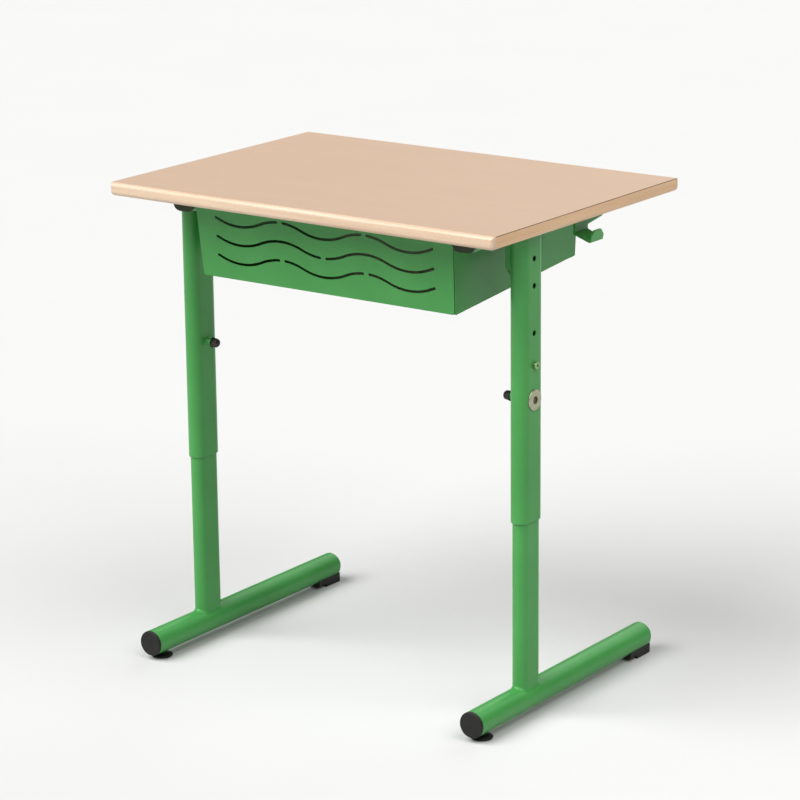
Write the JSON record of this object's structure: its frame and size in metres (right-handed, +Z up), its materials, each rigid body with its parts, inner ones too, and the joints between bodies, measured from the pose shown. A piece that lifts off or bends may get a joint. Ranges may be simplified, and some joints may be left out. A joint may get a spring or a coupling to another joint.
{
  "type": "adjustable school desk",
  "caption": "Single school desk: laminated rectangular top on two telescopic posts with tube feet, a folded sheet tray with wave slots under the top and a bag hook.",
  "frame": {"origin": "floor level under the middle of the top", "axes": "+X to the side with the bag hook, +Y from the tray's wave-cut front towards the pupil, +Z up"},
  "size_m": [0.7, 0.5, 0.76],
  "materials": {
    "laminate": "matt pinkish beige decor laminate with a fine fleck",
    "beech": "clear satin lacquer on beech",
    "particle_board": "raw board",
    "backing": "plain balancing sheet",
    "green_paint": "semi-gloss powder coat",
    "black_plastic": "moulded satin",
    "black_nut": "blackened steel",
    "zinc": "bright zinc plating"
  },
  "bodies": {
    "upper_frame": {"arm_left": "green_paint", "arm_plug_front_left": "black_plastic", "arm_plug_front_right": "black_plastic", "arm_plug_rear_left": "black_plastic", "arm_plug_rear_right": "black_plastic", "arm_right": "green_paint", "bag_hook": "green_paint", "clamp_nut_left": "black_nut", "clamp_nut_right": "black_nut", "head_bracket_left": "green_paint", "head_bracket_right": "green_paint", "hook_screw_front": "zinc", "hook_screw_rear": "zinc", "lipping_front": "beech", "lipping_left": "beech", "lipping_rear": "beech", "lipping_right": "beech", "post_sleeve_left": "green_paint", "post_sleeve_right": "green_paint", "sleeve_bush_left": "black_plastic", "sleeve_bush_right": "black_plastic", "sleeve_cap_left": "black_plastic", "sleeve_cap_right": "black_plastic", "top_backing": "backing", "top_core": "particle_board", "top_laminate": "laminate", "top_screw_front_left": "zinc", "top_screw_front_right": "zinc", "top_screw_rear_left": "zinc", "top_screw_rear_right": "zinc", "tray": "green_paint", "tray_screw_front_left": "zinc", "tray_screw_front_right": "zinc", "tray_screw_rear_left": "zinc", "tray_screw_rear_right": "zinc"},
    "leg_left": {"foot_plug_left": "black_plastic", "foot_tube_left": "green_paint", "glide_insert_left": "zinc", "leg_guide_left": "black_plastic", "leg_tube_left": "green_paint", "rear_shoe_left": "black_plastic"},
    "levelling_glide_left": {"glide_left": "black_plastic"},
    "clamp_bolt_left": {"clamp_screw_left": "zinc"},
    "index_bolt_left": {"index_screw_left": "zinc"},
    "leg_right": {"foot_plug_right": "black_plastic", "foot_tube_right": "green_paint", "glide_insert_right": "zinc", "leg_guide_right": "black_plastic", "leg_tube_right": "green_paint", "rear_shoe_right": "black_plastic"},
    "levelling_glide_right": {"glide_right": "black_plastic"},
    "clamp_bolt_right": {"clamp_screw_right": "zinc"},
    "index_bolt_right": {"index_screw_right": "zinc"}
  },
  "joints": [
    {"name": "leg_left_slide", "type": "slide", "parent": "upper_frame", "child": "leg_left", "axis": [0, 0, 1], "range_m": [0, 0.17]},
    {"name": "glide_left_turn", "type": "hinge", "parent": "leg_left", "child": "levelling_glide_left", "pos_m": [-0.305, -0.216, 0], "axis": [0, 0, 1], "continuous": true},
    {"name": "clamp_left_turn", "type": "hinge", "parent": "upper_frame", "child": "clamp_bolt_left", "pos_m": [-0.32, -0.1, 0.4885], "axis": [-1, 0, 0], "continuous": true},
    {"name": "index_left_turn", "type": "hinge", "parent": "upper_frame", "child": "index_bolt_left", "pos_m": [-0.32, -0.1, 0.5405], "axis": [-1, 0, 0], "continuous": true},
    {"name": "leg_right_slide", "type": "slide", "parent": "upper_frame", "child": "leg_right", "axis": [0, 0, 1], "range_m": [0, 0.17]},
    {"name": "glide_right_turn", "type": "hinge", "parent": "leg_right", "child": "levelling_glide_right", "pos_m": [0.305, -0.216, 0], "axis": [0, 0, 1], "continuous": true},
    {"name": "clamp_right_turn", "type": "hinge", "parent": "upper_frame", "child": "clamp_bolt_right", "pos_m": [0.32, -0.1, 0.4885], "axis": [1, 0, 0], "continuous": true},
    {"name": "index_right_turn", "type": "hinge", "parent": "upper_frame", "child": "index_bolt_right", "pos_m": [0.32, -0.1, 0.5405], "axis": [1, 0, 0], "continuous": true}
  ],
  "couplings": [
    {"joint": "leg_right_slide", "follows": "leg_left_slide", "ratio": 1}
  ]
}
